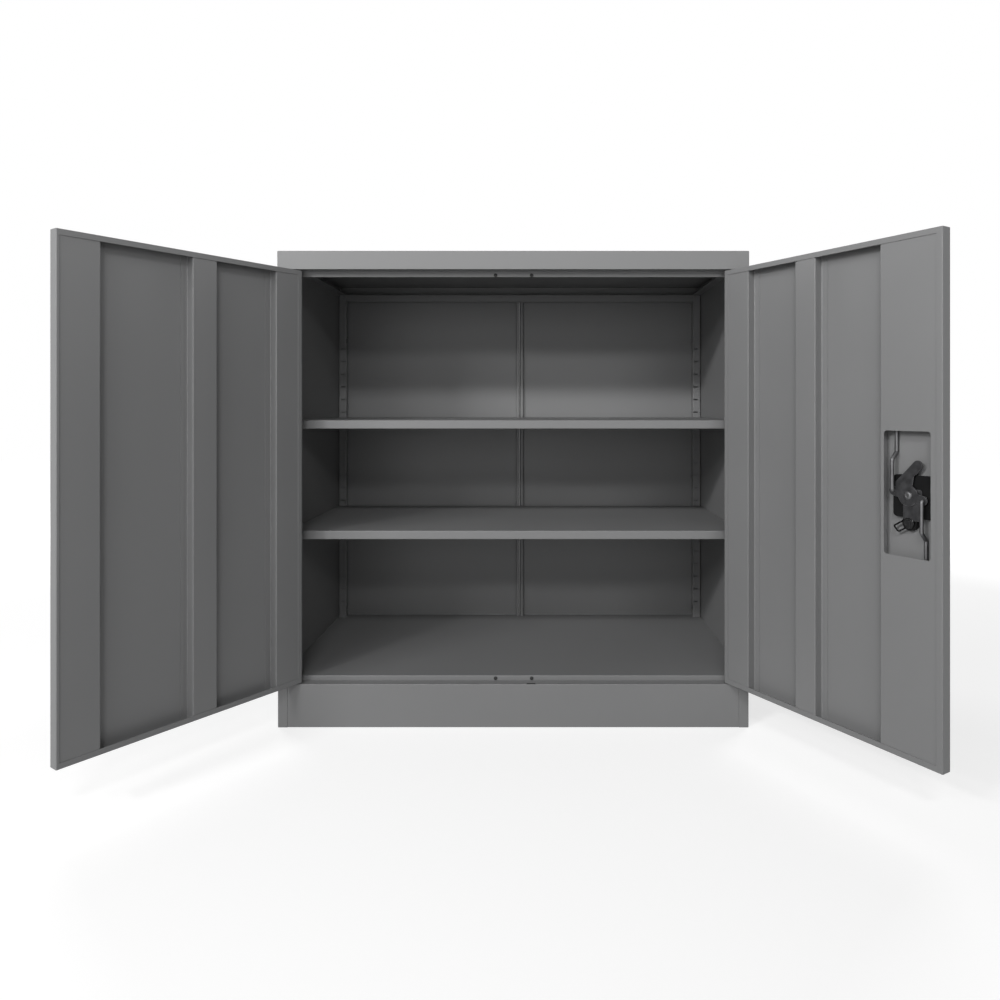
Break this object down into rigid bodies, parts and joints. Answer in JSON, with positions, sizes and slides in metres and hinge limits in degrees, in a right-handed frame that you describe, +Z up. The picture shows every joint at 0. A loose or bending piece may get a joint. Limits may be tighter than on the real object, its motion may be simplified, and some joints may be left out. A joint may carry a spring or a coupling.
{
  "type": "tool cabinet with doors",
  "caption": "Half-height steel cabinet with two swing doors, adjustable shelves on hooked clips, and a cam lock with shooting rods.",
  "frame": {"origin": "middle of the cabinet's front edge on the floor, on the underside of the plinth", "axes": "+X to the right seen from the front, +Y from the front to the back, +Z up"},
  "size_m": [1.3343, 0.824, 0.925],
  "materials": {
    "powder_coat": "semi-gloss charcoal powder coat",
    "zinc_steel": "dull bright zinc plate",
    "dark_steel": "dark plated pressed steel",
    "black_plastic": "fine matt moulded nylon",
    "nylon": "plain moulded nylon",
    "rubber": "soft black rubber",
    "lock_chrome": "satin chrome",
    "spring_wire": "black oiled wire"
  },
  "bodies": {
    "carcass": {"left_side_panel": "powder_coat", "right_side_panel": "powder_coat", "left_back_panel": "powder_coat", "right_back_panel": "powder_coat", "top_cap": "powder_coat", "header_rail": "powder_coat", "rear_rail": "powder_coat", "floor_pan": "powder_coat", "front_plinth": "powder_coat", "rear_plinth": "powder_coat", "lower_shelf": "powder_coat", "upper_shelf": "powder_coat", "lower_shelf_clips": "zinc_steel", "upper_shelf_clips": "zinc_steel", "hinge_bushes": "nylon", "door_buffers": "rubber"},
    "left_door": {"left_door_pan": "powder_coat", "left_hinge_stiffener": "powder_coat", "left_middle_stiffener": "powder_coat", "left_free_stiffener": "powder_coat", "left_hinge_pins": "zinc_steel"},
    "right_door": {"right_door_pan": "powder_coat", "right_hinge_stiffener": "powder_coat", "right_middle_stiffener": "powder_coat", "right_free_stiffener": "powder_coat", "right_hinge_pins": "zinc_steel", "lock_housing": "black_plastic", "lock_bracket": "dark_steel", "lock_barrel": "lock_chrome", "barrel_clip": "spring_wire"},
    "lock_handle": {"lock_knob": "black_plastic", "lock_cam": "dark_steel", "cam_screw": "zinc_steel"},
    "key_plug": {"key_plug": "lock_chrome"},
    "upper_lock_rod": {"upper_lock_rod": "zinc_steel"},
    "lower_lock_rod": {"lower_lock_rod": "zinc_steel"}
  },
  "joints": [
    {"name": "left_door_swing", "type": "hinge", "parent": "carcass", "child": "left_door", "pos_m": [-0.428, 0.0045, 0.4865], "axis": [0, 0, -1], "range_deg": [-125.1, 2.7]},
    {"name": "right_door_swing", "type": "hinge", "parent": "carcass", "child": "right_door", "pos_m": [0.428, 0.0045, 0.4865], "axis": [0, 0, 1], "range_deg": [-121.7, 5.7]},
    {"name": "knob_turn", "type": "hinge", "parent": "right_door", "child": "lock_handle", "pos_m": [0.62095, -0.30886, 0.487], "axis": [0.8508, 0.5255, 0], "range_deg": [0, 77]},
    {"name": "key_turn", "type": "hinge", "parent": "right_door", "child": "key_plug", "pos_m": [0.62095, -0.30886, 0.445], "axis": [0.8508, 0.5255, 0], "range_deg": [0, 90]},
    {"name": "upper_rod_hook", "type": "hinge", "parent": "lock_handle", "child": "upper_lock_rod", "pos_m": [0.60214, -0.2923, 0.49253], "axis": [0.8508, 0.5255, 0], "range_deg": [-80.67, 0]},
    {"name": "lower_rod_hook", "type": "hinge", "parent": "lock_handle", "child": "lower_lock_rod", "pos_m": [0.62733, -0.33309, 0.48147], "axis": [0.8508, 0.5255, 0], "range_deg": [-80.67, 0]}
  ],
  "couplings": [
    {"joint": "upper_rod_hook", "follows": "knob_turn", "ratio": -1.0476},
    {"joint": "lower_rod_hook", "follows": "knob_turn", "ratio": -1.0476}
  ]
}
